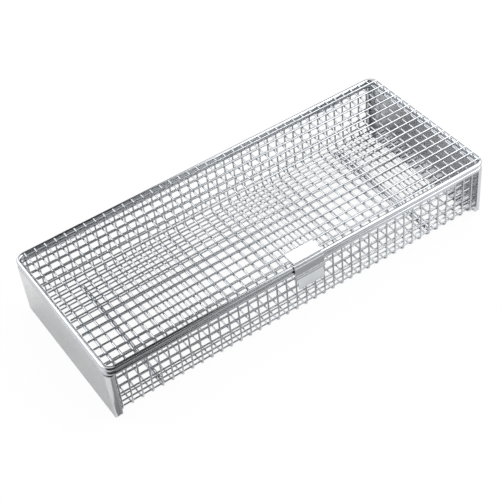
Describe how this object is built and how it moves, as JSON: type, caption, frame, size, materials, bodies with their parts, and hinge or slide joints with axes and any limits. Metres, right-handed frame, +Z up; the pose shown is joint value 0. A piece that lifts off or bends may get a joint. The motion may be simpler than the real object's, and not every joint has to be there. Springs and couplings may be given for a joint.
{
  "type": "instrument tray",
  "caption": "Wire mesh instrument basket with pressed end plates, a hinged mesh lid and a swing-out latch clip.",
  "frame": {"origin": "under the middle of the tray, on the surface that it stands on", "axes": "+X along the tray, +Y from the latch side to the hinge side, +Z up"},
  "size_m": [0.2546, 0.1093, 0.0437],
  "materials": {
    "satin_sheet": "fine satin, pressed sheet",
    "bright_rod": "electropolished round rod",
    "mesh_wire": "electropolished drawn wire",
    "clip_sheet": "polished folded sheet"
  },
  "bodies": {
    "basket": {"left_end_plate": "satin_sheet", "right_end_plate": "satin_sheet", "basket_rim_rod": "bright_rod", "basket_cross_wires": "mesh_wire", "floor_long_wires": "mesh_wire", "front_bend_wire": "mesh_wire", "rear_bend_wire": "mesh_wire", "front_long_wires": "mesh_wire", "rear_long_wires": "mesh_wire", "left_floor_bar": "mesh_wire", "right_floor_bar": "mesh_wire"},
    "lid": {"lid_frame_rod": "bright_rod", "lid_cross_wires": "mesh_wire", "lid_clasp_wires": "mesh_wire", "lid_long_wires": "mesh_wire", "left_hinge_clip": "clip_sheet", "right_hinge_clip": "clip_sheet", "clasp_plate": "clip_sheet"},
    "latch": {"latch_clip": "clip_sheet"}
  },
  "joints": [
    {"name": "lid_hinge", "type": "hinge", "parent": "basket", "child": "lid", "pos_m": [0, 0.0516, 0.0367], "axis": [-1, 0, 0], "range_deg": [0, 110]},
    {"name": "latch_swing", "type": "hinge", "parent": "lid", "child": "latch", "pos_m": [0, -0.0516, 0.03995], "axis": [-1, 0, 0], "range_deg": [0, 45]}
  ]
}
